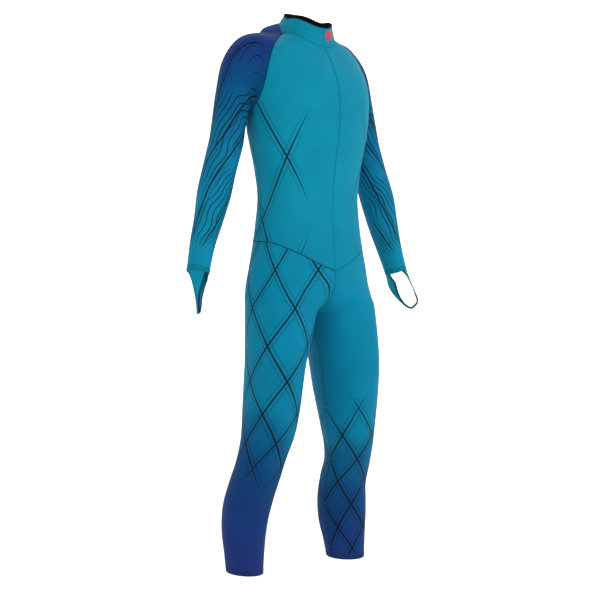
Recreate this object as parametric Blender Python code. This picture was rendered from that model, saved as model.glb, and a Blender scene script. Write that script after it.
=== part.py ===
"""Race suit: a close-fitting one-piece in stretch cloth, standing hollow as if worn.

Metres, +Z up. The wearer faces -Y and the wearer's left is +X. The origin is between the
shoulders, at the height where they carry the suit. Sizes below are of the left half, with
heights above the wearer's soles, and the right half is its mirror image.

Every piece is a sheet: a grid of points on the garment's outer face, given the cloth's
thickness inwards. Pieces that meet share the points of their seam, each drawn in by half
of the seam's gap.
"""

import math

import bpy
import numpy as np

SHOULDER_HEIGHT = 1.490
CLOTH = 0.0015
SEAM_GAP = 0.0003
INNER_DRAW = 0.0004  # how far the inner edge of a piece stands back, as a turned seam does

# Rings of the trunk. At each ring's front and back the cloth rises above its side height.
TRUNK = np.array(
    [
        # side height, front, back and ridge rise, half width, front and back depth, squareness
        (0.840, 0.000, 0.000, 0.000, 0.1750, 0.1110, 0.1200, 2.0),
        (0.885, 0.000, 0.000, 0.000, 0.1710, 0.1110, 0.1190, 2.0),
        (0.930, 0.000, 0.000, 0.000, 0.1630, 0.1080, 0.1110, 2.0),
        (0.980, 0.000, 0.000, 0.000, 0.1530, 0.1030, 0.1010, 2.1),
        (1.040, 0.000, 0.000, 0.000, 0.1430, 0.0990, 0.0930, 2.2),
        (1.110, 0.000, 0.000, 0.000, 0.1370, 0.0980, 0.0890, 2.2),
        (1.180, 0.000, 0.000, 0.000, 0.1440, 0.1060, 0.0960, 2.3),
        (1.250, 0.000, 0.000, 0.000, 0.1560, 0.1190, 0.1080, 2.4),
        (1.305, 0.000, 0.000, 0.000, 0.1630, 0.1240, 0.1160, 2.5),
        (1.345, -0.001, 0.000, 0.000, 0.1660, 0.1230, 0.1190, 2.5),
        (1.375, -0.003, 0.002, 0.002, 0.1650, 0.1190, 0.1170, 2.5),
        (1.410, -0.010, 0.006, 0.008, 0.1590, 0.1100, 0.1110, 2.4),
        (1.445, -0.019, 0.015, 0.028, 0.1450, 0.0970, 0.1000, 2.4),
        (1.475, -0.027, 0.025, 0.037, 0.1240, 0.0840, 0.0870, 2.3),
        (1.497, -0.033, 0.032, 0.024, 0.0930, 0.0735, 0.0760, 2.2),
        (1.509, -0.034, 0.036, 0.015, 0.0670, 0.0660, 0.0690, 2.1),
    ]
)
FRONT_SQUARENESS = 2.3  # 2 is an ellipse

# The seam between trunk and sleeve, as angles round the trunk from its centre front.
RAGLAN = np.array(
    [
        # side height, front angle, back angle
        (1.305, 108.0, 108.0),
        (1.318, 96.0, 119.0),
        (1.338, 86.0, 125.0),
        (1.365, 79.0, 128.0),
        (1.395, 75.5, 129.0),
        (1.425, 74.5, 128.0),
        (1.452, 75.5, 126.0),
        (1.476, 79.0, 121.0),
        (1.496, 87.0, 113.0),
        (1.509, 100.0, 100.0),
    ]
)

# The collar's rings, from its seam to its rim.
COLLAR = np.array(
    [
        # share of height, front, side, back height, ridge, half width, front and back depth
        (0.00, 1.475, 1.509, 1.545, 0.015, 0.0670, 0.0660, 0.0690),
        (0.35, 1.490, 1.522, 1.554, 0.011, 0.0640, 0.0640, 0.0660),
        (0.70, 1.507, 1.535, 1.563, 0.007, 0.0595, 0.0635, 0.0610),
        (1.00, 1.522, 1.548, 1.571, 0.005, 0.0560, 0.0640, 0.0570),
    ]
)

# The leg's centre line, and its section turned outwards from straight ahead.
LEG_TURN = 20.0
HEM_TILT = 0.14  # how steeply the hem falls towards the front
HEM_TILT_START = 0.340
LEG = np.array(
    [
        # height, out, back, half depth, half width
        (0.830, 0.0920, -0.010, 0.0945, 0.0880),
        (0.790, 0.0980, -0.011, 0.0960, 0.0830),
        (0.740, 0.1060, -0.012, 0.0955, 0.0765),
        (0.690, 0.1125, -0.012, 0.0935, 0.0720),
        (0.640, 0.1175, -0.011, 0.0885, 0.0705),
        (0.590, 0.1225, -0.010, 0.0805, 0.0690),
        (0.540, 0.1285, -0.007, 0.0720, 0.0655),
        (0.490, 0.1375, 0.001, 0.0650, 0.0590),
        (0.440, 0.1445, 0.014, 0.0590, 0.0578),
        (0.390, 0.1490, 0.034, 0.0600, 0.0582),
        (0.340, 0.1555, 0.047, 0.0645, 0.0575),
        (0.290, 0.1595, 0.050, 0.0635, 0.0540),
        (0.240, 0.1620, 0.046, 0.0560, 0.0490),
        (0.192, 0.1635, 0.042, 0.0500, 0.0450),
    ]
)

# The arm's centre line below the shoulder, and its section's two half widths.
THUMB_ANGLE = 135.0  # round the arm from its outer side, past its front
ARM = np.array(
    [
        # height, out, back, half width towards the thumb, half width across
        (1.235, 0.2235, 0.037, 0.0420, 0.0435),
        (1.170, 0.2455, 0.034, 0.0410, 0.0430),
        (1.110, 0.2650, 0.030, 0.0410, 0.0440),
        (1.050, 0.2820, 0.028, 0.0355, 0.0395),
        (0.990, 0.3015, 0.026, 0.0305, 0.0335),
        (0.922, 0.3210, 0.018, 0.0272, 0.0285),
    ]
)

# Ovals that carry the sleeve from the raglan seam over the shoulder to the arm.
CAP = np.array(
    [
        # share of the cap, inner out, inner height, outer out, outer height, back, half depth
        (0.34, 0.1690, 1.300, 0.158, 1.503, 0.045, 0.0625),
        (0.58, 0.1725, 1.288, 0.209, 1.455, 0.044, 0.0555),
        (0.80, 0.1755, 1.265, 0.237, 1.368, 0.042, 0.0480),
    ]
)

# The hand loop: a strap that leaves both sides of the cuff and passes between thumb and palm.
LOOP = np.array(
    [
        # share of its run, across, drop below cuff, thumb edge, far edge, wrap round the wrist
        (0.00, 0.0285, 0.000, 0.0225, -0.0245, 1.0),
        (0.10, 0.0290, 0.014, 0.0235, -0.0140, 0.6),
        (0.20, 0.0300, 0.032, 0.0220, -0.0045, 0.3),
        (0.32, 0.0330, 0.058, 0.0200, 0.0060, 0.1),
        (0.42, 0.0345, 0.085, 0.0225, 0.0150, 0.0),
        (0.47, 0.0290, 0.094, 0.0240, 0.0160, 0.0),
        (0.53, 0.0150, 0.101, 0.0245, 0.0160, 0.2),
        (0.58, 0.0060, 0.097, 0.0240, 0.0155, 0.4),
        (0.65, -0.0060, 0.082, 0.0225, 0.0125, 0.7),
        (0.74, -0.0180, 0.058, 0.0200, 0.0055, 1.0),
        (0.84, -0.0260, 0.030, 0.0220, -0.0050, 1.1),
        (0.92, -0.0285, 0.013, 0.0235, -0.0145, 1.0),
        (1.00, -0.0285, 0.000, 0.0225, -0.0245, 1.0),
    ]
)

# The patch on the collar, on the wearer's left of the centre front.
PATCH_ANGLE = 17.0
PATCH_HALF_ANGLE = 14.5
PATCH_SHARE = 0.63  # of the collar's height
PATCH_HALF_SHARE = 0.26
PATCH_THICKNESS = 0.0008

WAIST_SIDE = 0.998
WAIST_FRONT_DROP = 0.072  # the seam's point at the centre front hangs this far below its sides
HIP_HEIGHT = 0.895  # below this the trunk divides into two legs
FORK_SHARE = 0.45  # how far the ring below the hip has turned into two legs

CAP_LEAD = 8.0  # degrees round the trunk
SEAM_CROWDING = 1.55  # draws the waist seam's points towards the centre, to fall above the legs'

COLUMNS_FRONT = 10
COLUMNS_BACK = 10  # of half of the back
ROWS_SIDE = 8
ROWS_HIP = 4
ROWS_FORK = 3
ROWS_CROTCH = 2
ROWS_LEG = 16
ROWS_CAP = 9
ROWS_ARM = 9
ROWS_COLLAR = 4
ROWS_LOOP = 22
COLUMNS_LOOP = 6
CELLS_PATCH = 6

COLOURS = {
    # slot: red, green, blue, roughness
    "teal_cloth": (0.012, 0.270, 0.420, 0.62),
    "navy_cloth": (0.010, 0.060, 0.210, 0.62),
    "coral_rubber": (0.560, 0.050, 0.100, 0.50),
}


# Reading the tables


def at(table, position):
    """A table's other columns at a place in its first one, on a smooth curve through its rows."""
    keys = table[:, 0]
    falling = keys[0] > keys[-1]
    if falling:
        table = table[::-1]
        keys = table[:, 0]
    position = min(max(position, keys[0]), keys[-1])
    low = int(min(max(np.searchsorted(keys, position) - 1, 0), len(keys) - 2))
    span = keys[low + 1] - keys[low]
    share = (position - keys[low]) / span
    ends = table[low : low + 2, 1:]
    slopes = []
    for row in (low, low + 1):
        before, after = max(row - 1, 0), min(row + 1, len(keys) - 1)
        slopes.append((table[after, 1:] - table[before, 1:]) / (keys[after] - keys[before]))
    return hermite(ends[0], slopes[0] * span, ends[1], slopes[1] * span, share)


def hermite(start, start_slope, end, end_slope, share):
    """A cubic from start to end that leaves and arrives with the given slopes."""
    square, cube = share**2, share**3
    return (
        (2 * cube - 3 * square + 1) * start
        + (cube - 2 * square + share) * start_slope
        + (3 * square - 2 * cube) * end
        + (cube - square) * end_slope
    )


def through(rows, places, share_of):
    """Rows of points at the given places, on smooth curves through the key rows."""
    table = np.array([[place, *np.ravel(row)] for place, row in zip(places, rows)])
    return [at(table, place).reshape(-1, 3) for place in share_of]


# The garment's outer face


def rounded(angle, squareness):
    """Sine and cosine of an angle in degrees, swollen to a squareness."""
    power = 2 / squareness
    sine, cosine = math.sin(math.radians(angle)), math.cos(math.radians(angle))
    return (
        math.copysign(abs(sine) ** power, sine),
        math.copysign(abs(cosine) ** power, cosine),
    )


def ring_point(angle, heights, ridge, half_width, depths, squareness):
    """A point of a ring round the trunk or the neck, at an angle from its centre front."""
    half = 0 if angle < 90 else 1
    sine, cosine = rounded(angle, squareness[half])
    turn = math.radians(angle)
    front, side, back = heights
    height = side + ((front, back)[half] - side) * math.cos(turn) ** 2
    height += half * ridge * math.sin(2 * turn) ** 2
    return (half_width * sine, -depths[half] * cosine, height)


def trunk_point(angle, height):
    front_rise, back_rise, ridge, half_width, *depths, back_squareness = at(TRUNK, height)
    heights = (height + front_rise, height, height + back_rise)
    squareness = (FRONT_SQUARENESS, back_squareness)
    return ring_point(angle, heights, ridge, half_width, depths, squareness)


def collar_point(angle, share):
    *heights, ridge, half_width, front_depth, back_depth = at(COLLAR, share)
    squareness = (FRONT_SQUARENESS, TRUNK[-1, -1])
    return ring_point(angle, heights, ridge, half_width, (front_depth, back_depth), squareness)


def waist_height(angle):
    """The seam between trunk and legs: a shallow point at the front, level behind."""
    if angle < 90:
        return WAIST_SIDE - WAIST_FRONT_DROP * (1 - math.sin(math.radians(angle)))
    return WAIST_SIDE


def limb_frame(table, height):
    """A limb's centre at a height, and its directions down, outwards and forwards there."""
    step = 0.01
    centre = np.array([*at(table, height)[:2], height])
    above = np.array([*at(table, height + step)[:2], height + step])
    below = np.array([*at(table, height - step)[:2], height - step])
    if height + step > table[0, 0]:
        above = centre
    if height - step < table[-1, 0]:
        below = centre
    down = (below - above) / np.linalg.norm(below - above)
    outward = np.array([1.0, 0.0, 0.0]) - down * down[0]
    outward /= np.linalg.norm(outward)
    forward = np.cross(down, outward)
    forward *= -math.copysign(1, forward[1])
    return centre, down, outward, forward


def limb_ring(table, height, angles, long_angle):
    """Points round a limb, square to its centre line, from its outer side past its front."""
    centre, _, outward, forward = limb_frame(table, height)
    half_long, half_short = at(table, height)[2:4]
    points = []
    for angle in angles:
        turned = math.radians(angle - long_angle)
        radius = 1 / math.hypot(math.cos(turned) / half_long, math.sin(turned) / half_short)
        around = math.radians(angle)
        points.append(centre + radius * (math.cos(around) * outward + math.sin(around) * forward))
    return np.array(points)


# The pieces, as grids of points of the left half


def front_grid():
    """From the centre front to the side seam and the raglan seam, waist to collar."""
    rows = []
    for row in range(ROWS_SIDE):
        rise = row / ROWS_SIDE
        edge = 90 + (RAGLAN[0, 1] - 90) * rise
        rows.append(trunk_row(edge * crowded(COLUMNS_FRONT, rise), rise))
    for height, edge, _ in RAGLAN:
        angles = np.linspace(0, edge, COLUMNS_FRONT + 1)
        rows.append([trunk_point(angle, height) for angle in angles])
    return np.array(rows)


def back_grid():
    """Half of the back, from the side seam and the raglan seam to the centre back."""
    rows = []
    for row in range(ROWS_SIDE):
        rise = row / ROWS_SIDE
        edge = 90 + (RAGLAN[0, 2] - 90) * rise
        rows.append(trunk_row(180 - (180 - edge) * crowded(COLUMNS_BACK, rise)[::-1], rise))
    for height, _, edge in RAGLAN:
        angles = np.linspace(edge, 180, COLUMNS_BACK + 1)
        rows.append([trunk_point(angle, height) for angle in angles])
    return np.array(rows)


def crowded(columns, rise):
    """Shares from 0 to 1, drawn towards 0 at the waist seam and even at the underarm."""
    return np.linspace(0, 1, columns + 1) ** (SEAM_CROWDING + (1 - SEAM_CROWDING) * rise)


def trunk_row(angles, rise):
    """A row of trunk points, at a share of the way from the waist seam to the underarm."""
    points = []
    for angle in angles:
        low = waist_height(angle)
        points.append(trunk_point(angle, low + (RAGLAN[0, 0] - low) * rise))
    return points


def leg_grid():
    """From the waist seam to the ankle, round from the centre front to the centre back."""
    columns = COLUMNS_FRONT + COLUMNS_BACK
    front = 90 * crowded(COLUMNS_FRONT, 0)
    angles = [*front, *(180 - 90 * crowded(COLUMNS_BACK, 0)[-2::-1])]
    around = np.linspace(180, -180, columns + 1)  # from the inseam past the front
    long_angle = 90 - LEG_TURN
    rows = []
    for row in range(ROWS_HIP):
        sink = row / ROWS_HIP
        heights = [low + (HIP_HEIGHT - low) * sink for low in map(waist_height, angles)]
        rows.append([trunk_point(*place) for place in zip(angles, heights)])

    def trunk_ring(height):
        return np.array([trunk_point(angle, height) for angle in angles])

    def leg_ring(height):
        points = limb_ring(LEG, height, around, long_angle)
        sunk = max(HEM_TILT_START - height, 0) / (HEM_TILT_START - LEG[-1, 0])
        points[:, 2] += HEM_TILT * sunk**2 * (points[:, 1] - at(LEG, height)[1])
        return points

    top, second, third = LEG[0, 0], LEG[1, 0], LEG[2, 0]
    fork = leg_ring(top)
    fork[0, 0] = fork[-1, 0] = 0.0
    middle = (HIP_HEIGHT + top) / 2
    divided = (1 - FORK_SHARE) * trunk_ring(middle) + FORK_SHARE * fork
    from_inseam = np.sin(np.radians(np.abs(around)) / 2) ** 2
    divided[:, 2] += (middle - divided[:, 2]) * (1 - from_inseam**2)
    keys = [trunk_ring(HIP_HEIGHT + 0.045), trunk_ring(HIP_HEIGHT), divided, fork]
    keys += [leg_ring(second), leg_ring(third)]
    places = [-0.8, 0.0, 0.5, 1.0, 1.8, 2.8]
    shares = [*np.linspace(0, 1, ROWS_FORK + 1), *np.linspace(1, 1.8, ROWS_CROTCH + 1)[1:-1]]
    for points in through(keys, places, shares):
        points[:, 0] = np.maximum(points[:, 0], 0.0)
        rows.append(points)
    for height in np.linspace(second, LEG[-1, 0], ROWS_LEG + 1):
        rows.append(leg_ring(height))
    return np.array([np.array(row) for row in rows])


def raglan_ring():
    """The sleeve's top edge, from the underarm up the front to the neck and down the back."""
    front = [trunk_point(angle, height) for height, angle, _ in RAGLAN]
    back = [trunk_point(angle, height) for height, _, angle in RAGLAN]
    return np.array(front + back[-2::-1])


def before_seam():
    """Points on the trunk a little way in from the raglan seam, for the cap to run on from."""
    front = [trunk_point(angle - CAP_LEAD, height) for height, angle, _ in RAGLAN]
    back = [trunk_point(angle + CAP_LEAD, height) for height, _, angle in RAGLAN]
    return np.array(front + back[-2::-1])


def cap_oval(inner_out, inner_height, outer_out, outer_height, back, half_depth, around):
    """An oval round the shoulder, from its inner low end past the front to its outer high end."""
    points = []
    for angle in np.radians(around):
        share = 0.5 - 0.5 * math.cos(angle)
        out = outer_out + (inner_out - outer_out) * share
        height = outer_height + (inner_height - outer_height) * share
        points.append((out, back - half_depth * math.sin(angle), height))
    return np.array(points)


def sleeve_grid():
    """From the raglan seam to the cuff, round from the underarm past the front."""
    seam = raglan_ring()
    around = np.linspace(180, -180, len(seam))
    top, second = ARM[0, 0], ARM[1, 0]
    keys = [before_seam(), seam]
    keys += [cap_oval(*row[1:], around) for row in CAP]
    keys += [limb_ring(ARM, height, around, THUMB_ANGLE) for height in (top, second)]
    places = [-0.12, 0.0, *CAP[:, 0], 1.0, 1.25]
    rows = through(keys, places, np.linspace(0, 1, ROWS_CAP + 1)[:-1])
    for height in np.linspace(top, ARM[-1, 0], ROWS_ARM + 1):
        rows.append(limb_ring(ARM, height, around, THUMB_ANGLE))
    return np.array(rows)


def loop_grid():
    """The hand loop, from the back of the wrist down, across and up to its inner side."""
    centre, down, outward, forward = limb_frame(ARM, ARM[-1, 0])
    half_thumb, half_across = ARM[-1, 3:5]
    thumb = math.radians(THUMB_ANGLE)
    to_thumb = math.cos(thumb) * outward + math.sin(thumb) * forward
    to_back = math.sin(thumb) * outward - math.cos(thumb) * forward
    rows = []
    for share in np.linspace(0, 1, ROWS_LOOP + 1):
        across, drop, thumb_edge, far_edge, wrap = at(LOOP, share)
        row = []
        for wide in np.linspace(thumb_edge, far_edge, COLUMNS_LOOP + 1):
            bend = math.sqrt(1 - (wrap * wide / half_thumb) ** 2)
            row.append(centre + down * drop + to_thumb * wide + to_back * across * bend)
        rows.append(row)
    return np.array(rows)


def patch_grid():
    """The patch, as a square of cells rounded off at its corners."""
    steps = np.linspace(-1, 1, CELLS_PATCH + 1)
    grid = []
    for up in steps:
        row = []
        for along in steps:
            angle = PATCH_ANGLE + PATCH_HALF_ANGLE * along * math.sqrt(1 - up**2 / 2)
            share = PATCH_SHARE + PATCH_HALF_SHARE * up * math.sqrt(1 - along**2 / 2)
            row.append(collar_point(angle, share))
        grid.append(row)
    return np.array(grid)


def collar_grid():
    """Half of the collar, from the centre front to the centre back, seam to rim."""
    neck = RAGLAN[-1, 1]
    angles = [*np.linspace(0, neck, COLUMNS_FRONT + 1)]
    angles += [*np.linspace(neck, 180, COLUMNS_BACK + 1)[1:]]
    shares = np.linspace(0, 1, ROWS_COLLAR + 1)
    return np.array([[collar_point(angle, share) for angle in angles] for share in shares])


# From grids to solids


def face_normals(grid):
    """Unit normals of a grid that face out of the garment's left half."""
    down_rows = np.gradient(grid, axis=0, edge_order=2)
    along_columns = np.gradient(grid, axis=1, edge_order=2)
    normals = np.cross(along_columns, down_rows)
    return normals / np.linalg.norm(normals, axis=2, keepdims=True)


def drawn_in(grid, normals, distance):
    """The grid with its four edges moved in by a distance, square to themselves."""
    moved = grid.copy()
    for axis in (0, 1):
        for edge, beside in ((0, 1), (-1, -2)):
            rim, inside = np.take(grid, edge, axis), np.take(grid, beside, axis)
            along = np.gradient(rim, axis=0)
            across = np.cross(np.take(normals, edge, axis), along)
            across /= np.linalg.norm(across, axis=1, keepdims=True)
            across *= np.sign(np.sum(across * (inside - rim), axis=1, keepdims=True))
            if axis == 0:
                moved[edge] += across * distance
            else:
                moved[:, edge] += across * distance
    return moved


def sheet(name, grid, slot, mirrored=False, outward=1, depth=0.0, thickness=CLOTH):
    """A solid of the cloth's thickness behind a grid, with its outer face a depth below it."""
    normals = face_normals(grid) * outward
    outer = drawn_in(grid, normals, SEAM_GAP / 2) - normals * depth
    inner = drawn_in(grid, normals, SEAM_GAP / 2 + INNER_DRAW) - normals * (depth + thickness)
    rows, columns = grid.shape[:2]
    points = np.concatenate([outer.reshape(-1, 3), inner.reshape(-1, 3)])
    points[:, 2] -= SHOULDER_HEIGHT
    if mirrored:
        points[:, 0] *= -1
    behind = rows * columns
    faces = []
    for row in range(rows - 1):
        for column in range(columns - 1):
            a = row * columns + column
            quad = (a, a + 1, a + columns + 1, a + columns)
            faces.append(quad)
            faces.append(tuple(corner + behind for corner in reversed(quad)))
    rim = [column for column in range(columns)]
    rim += [row * columns + columns - 1 for row in range(1, rows)]
    rim += [(rows - 1) * columns + column for column in range(columns - 2, -1, -1)]
    rim += [row * columns for row in range(rows - 2, 0, -1)]
    for here, after in zip(rim, rim[1:] + rim[:1]):
        faces.append((after, here, here + behind, after + behind))
    turned_out = (outward > 0) != mirrored
    if not turned_out:
        faces = [tuple(reversed(face)) for face in faces]
    mesh = bpy.data.meshes.new(name)
    mesh.from_pydata(points.tolist(), [], faces)
    mesh.materials.append(material(slot))
    mesh.shade_smooth()
    mesh.set_sharp_from_angle(angle=math.radians(50))
    piece = bpy.data.objects.new(name, mesh)
    bpy.context.scene.collection.objects.link(piece)
    return piece


def material(slot):
    found = bpy.data.materials.get(slot)
    if found:
        return found
    *colour, roughness = COLOURS[slot]
    made = bpy.data.materials.new(slot)
    made.use_nodes = True
    shader = made.node_tree.nodes["Principled BSDF"]
    shader.inputs["Base Color"].default_value = (*colour, 1)
    shader.inputs["Roughness"].default_value = roughness
    shader.inputs["Metallic"].default_value = 0.0
    return made


def both_halves(grid):
    """A left half's grid joined to its mirror image across its last column."""
    mirror = grid[:, -2::-1] * np.array([-1.0, 1.0, 1.0])
    return np.concatenate([grid, mirror], axis=1)


def main():
    for old in list(bpy.data.objects):
        bpy.data.objects.remove(old)
    for side, mirrored in (("left", False), ("right", True)):
        sheet(f"front_{side}", front_grid(), "teal_cloth", mirrored)
        sheet(f"leg_{side}", leg_grid(), "teal_cloth", mirrored, outward=-1)
        sheet(f"sleeve_{side}", sleeve_grid(), "navy_cloth", mirrored, outward=-1)
        sheet(f"hand_loop_{side}", loop_grid(), "teal_cloth", mirrored, outward=-1)
    sheet("back", both_halves(back_grid()), "teal_cloth")
    sheet("collar", both_halves(collar_grid()), "teal_cloth")
    above_collar = SEAM_GAP + PATCH_THICKNESS
    patch = patch_grid()
    sheet("collar_patch", patch, "coral_rubber", depth=-above_collar, thickness=PATCH_THICKNESS)


main()
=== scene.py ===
"""Race suit, as seen: a close-fitting one-piece in printed stretch cloth, with no wearer.

Metres, +Z up, with the origin between the shoulders. The tables and grids are those of the
solids, read at more places. Heights in them are above the wearer's soles, of the left half.
The hand loops alone are turned a little from their solids.
"""

import math

import bpy
import numpy as np
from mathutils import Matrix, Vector


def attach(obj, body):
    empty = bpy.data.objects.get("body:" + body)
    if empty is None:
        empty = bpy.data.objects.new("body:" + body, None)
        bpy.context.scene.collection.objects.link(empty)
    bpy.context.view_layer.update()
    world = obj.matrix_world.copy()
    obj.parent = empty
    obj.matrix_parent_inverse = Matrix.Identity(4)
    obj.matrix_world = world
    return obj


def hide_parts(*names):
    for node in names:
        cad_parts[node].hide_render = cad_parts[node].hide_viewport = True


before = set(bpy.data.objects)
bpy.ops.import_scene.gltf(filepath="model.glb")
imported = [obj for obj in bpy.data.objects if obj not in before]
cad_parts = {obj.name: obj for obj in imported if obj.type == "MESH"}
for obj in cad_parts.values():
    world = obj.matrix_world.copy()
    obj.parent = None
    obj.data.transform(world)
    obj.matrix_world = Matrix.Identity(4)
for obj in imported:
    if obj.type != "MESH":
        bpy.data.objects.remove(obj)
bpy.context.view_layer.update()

SHOULDER_HEIGHT = 1.490
MILLIMETRES = 1000  # in a metre

# Rings of the trunk. At each ring's front and back the cloth rises above its side height.
TRUNK = np.array([
    # side height, front, back and ridge rise, half width, front and back depth, squareness
    (0.840, 0.0, 0.0, 0.0, 0.1750, 0.1110, 0.1200, 2.0),
    (0.885, 0.0, 0.0, 0.0, 0.1710, 0.1110, 0.1190, 2.0),
    (0.930, 0.0, 0.0, 0.0, 0.1630, 0.1080, 0.1110, 2.0),
    (0.980, 0.0, 0.0, 0.0, 0.1530, 0.1030, 0.1010, 2.1),
    (1.040, 0.0, 0.0, 0.0, 0.1430, 0.0990, 0.0930, 2.2),
    (1.110, 0.0, 0.0, 0.0, 0.1370, 0.0980, 0.0890, 2.2),
    (1.180, 0.0, 0.0, 0.0, 0.1440, 0.1060, 0.0960, 2.3),
    (1.250, 0.0, 0.0, 0.0, 0.1560, 0.1190, 0.1080, 2.4),
    (1.305, 0.0, 0.0, 0.0, 0.1630, 0.1240, 0.1160, 2.5),
    (1.345, -0.001, 0.000, 0.000, 0.1660, 0.1230, 0.1190, 2.5),
    (1.375, -0.003, 0.002, 0.002, 0.1650, 0.1190, 0.1170, 2.5),
    (1.410, -0.010, 0.006, 0.008, 0.1590, 0.1100, 0.1110, 2.4),
    (1.445, -0.019, 0.015, 0.028, 0.1450, 0.0970, 0.1000, 2.4),
    (1.475, -0.027, 0.025, 0.037, 0.1240, 0.0840, 0.0870, 2.3),
    (1.497, -0.033, 0.032, 0.024, 0.0930, 0.0735, 0.0760, 2.2),
    (1.509, -0.034, 0.036, 0.015, 0.0670, 0.0660, 0.0690, 2.1),
])
FRONT_SQUARENESS = 2.3  # 2 is an ellipse

# The seam between trunk and sleeve, as angles round the trunk from its centre front.
RAGLAN = np.array([
    # side height, front angle, back angle
    (1.305, 108.0, 108.0),
    (1.318, 96.0, 119.0),
    (1.338, 86.0, 125.0),
    (1.365, 79.0, 128.0),
    (1.395, 75.5, 129.0),
    (1.425, 74.5, 128.0),
    (1.452, 75.5, 126.0),
    (1.476, 79.0, 121.0),
    (1.496, 87.0, 113.0),
    (1.509, 100.0, 100.0),
])

# The collar's rings, from its seam to its rim.
COLLAR = np.array([
    # share of height, front, side, back height, ridge, half width, front and back depth
    (0.00, 1.475, 1.509, 1.545, 0.015, 0.0670, 0.0660, 0.0690),
    (0.35, 1.490, 1.522, 1.554, 0.011, 0.0640, 0.0640, 0.0660),
    (0.70, 1.507, 1.535, 1.563, 0.007, 0.0595, 0.0635, 0.0610),
    (1.00, 1.522, 1.548, 1.571, 0.005, 0.0560, 0.0640, 0.0570),
])

# The leg's centre line, and its section turned outwards from straight ahead.
LEG_TURN = 20.0
HEM_TILT = 0.14  # how steeply the hem falls towards the front
HEM_TILT_START = 0.340
LEG = np.array([
    # height, out, back, half depth, half width
    (0.830, 0.0920, -0.010, 0.0945, 0.0880),
    (0.790, 0.0980, -0.011, 0.0960, 0.0830),
    (0.740, 0.1060, -0.012, 0.0955, 0.0765),
    (0.690, 0.1125, -0.012, 0.0935, 0.0720),
    (0.640, 0.1175, -0.011, 0.0885, 0.0705),
    (0.590, 0.1225, -0.010, 0.0805, 0.0690),
    (0.540, 0.1285, -0.007, 0.0720, 0.0655),
    (0.490, 0.1375, 0.001, 0.0650, 0.0590),
    (0.440, 0.1445, 0.014, 0.0590, 0.0578),
    (0.390, 0.1490, 0.034, 0.0600, 0.0582),
    (0.340, 0.1555, 0.047, 0.0645, 0.0575),
    (0.290, 0.1595, 0.050, 0.0635, 0.0540),
    (0.240, 0.1620, 0.046, 0.0560, 0.0490),
    (0.192, 0.1635, 0.042, 0.0500, 0.0450),
])

# The arm's centre line below the shoulder, and its section's two half widths.
THUMB_ANGLE = 135.0  # round the arm from its outer side, past its front
ARM = np.array([
    # height, out, back, half width towards the thumb, half width across
    (1.235, 0.2235, 0.037, 0.0420, 0.0435),
    (1.170, 0.2455, 0.034, 0.0410, 0.0430),
    (1.110, 0.2650, 0.030, 0.0410, 0.0440),
    (1.050, 0.2820, 0.028, 0.0355, 0.0395),
    (0.990, 0.3015, 0.026, 0.0305, 0.0335),
    (0.922, 0.3210, 0.018, 0.0272, 0.0285),
])

# Ovals that carry the sleeve from the raglan seam over the shoulder to the arm.
CAP = np.array([
    # share of the cap, inner out, inner height, outer out, outer height, back, half depth
    (0.34, 0.1690, 1.300, 0.158, 1.503, 0.045, 0.0625),
    (0.58, 0.1725, 1.288, 0.209, 1.455, 0.044, 0.0555),
    (0.80, 0.1755, 1.265, 0.237, 1.368, 0.042, 0.0480),
])

# The hand loop: a strap that leaves both sides of the cuff and passes between thumb and palm.
LOOP = np.array([
    # share of its run, across, drop below cuff, thumb edge, far edge, wrap round the wrist
    (0.00, 0.0285, 0.000, 0.0225, -0.0245, 1.0),
    (0.10, 0.0290, 0.014, 0.0235, -0.0140, 0.6),
    (0.20, 0.0300, 0.032, 0.0220, -0.0045, 0.3),
    (0.32, 0.0330, 0.058, 0.0200, 0.0060, 0.1),
    (0.42, 0.0345, 0.085, 0.0225, 0.0150, 0.0),
    (0.47, 0.0290, 0.094, 0.0240, 0.0160, 0.0),
    (0.53, 0.0150, 0.101, 0.0245, 0.0160, 0.2),
    (0.58, 0.0060, 0.097, 0.0240, 0.0155, 0.4),
    (0.65, -0.0060, 0.082, 0.0225, 0.0125, 0.7),
    (0.74, -0.0180, 0.058, 0.0200, 0.0055, 1.0),
    (0.84, -0.0260, 0.030, 0.0220, -0.0050, 1.1),
    (0.92, -0.0285, 0.013, 0.0235, -0.0145, 1.0),
    (1.00, -0.0285, 0.000, 0.0225, -0.0245, 1.0),
])

LOOP_TWIST = 38.0  # degrees that the strap's thumb edge leans in towards the hand

# The patch on the collar, on the wearer's left of the centre front.
PATCH_ANGLE = 17.0
PATCH_HALF_ANGLE = 14.5
PATCH_SHARE = 0.63  # of the collar's height
PATCH_HALF_SHARE = 0.26
PATCH_DOME = 0.0009
PATCH_LIP = 0.0004
PATCH_STAND = 0.0002

WAIST_SIDE = 0.998
WAIST_FRONT_DROP = 0.072  # the seam's point at the centre front hangs this far below its sides
HIP_HEIGHT = 0.895  # below this the trunk divides into two legs
FORK_SHARE = 0.45  # how far the ring below the hip has turned into two legs

CAP_LEAD = 8.0  # degrees round the trunk
SEAM_CROWDING = 1.55  # draws the waist seam's points towards the centre, to fall above the legs'

COLUMNS = 44  # from the middle front or back to the side seam
ROWS_SIDE = 64
ROWS_RAGLAN = 48
ROWS_HIP = 14
ROWS_FORK = 9
ROWS_CROTCH = 6
ROWS_LEG = 150
ROWS_CAP = 52
ROWS_ARM = 84
ROWS_COLLAR = 16
ROWS_LOOP = 110
COLUMNS_LOOP = 10
CELLS_PATCH = 22

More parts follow.
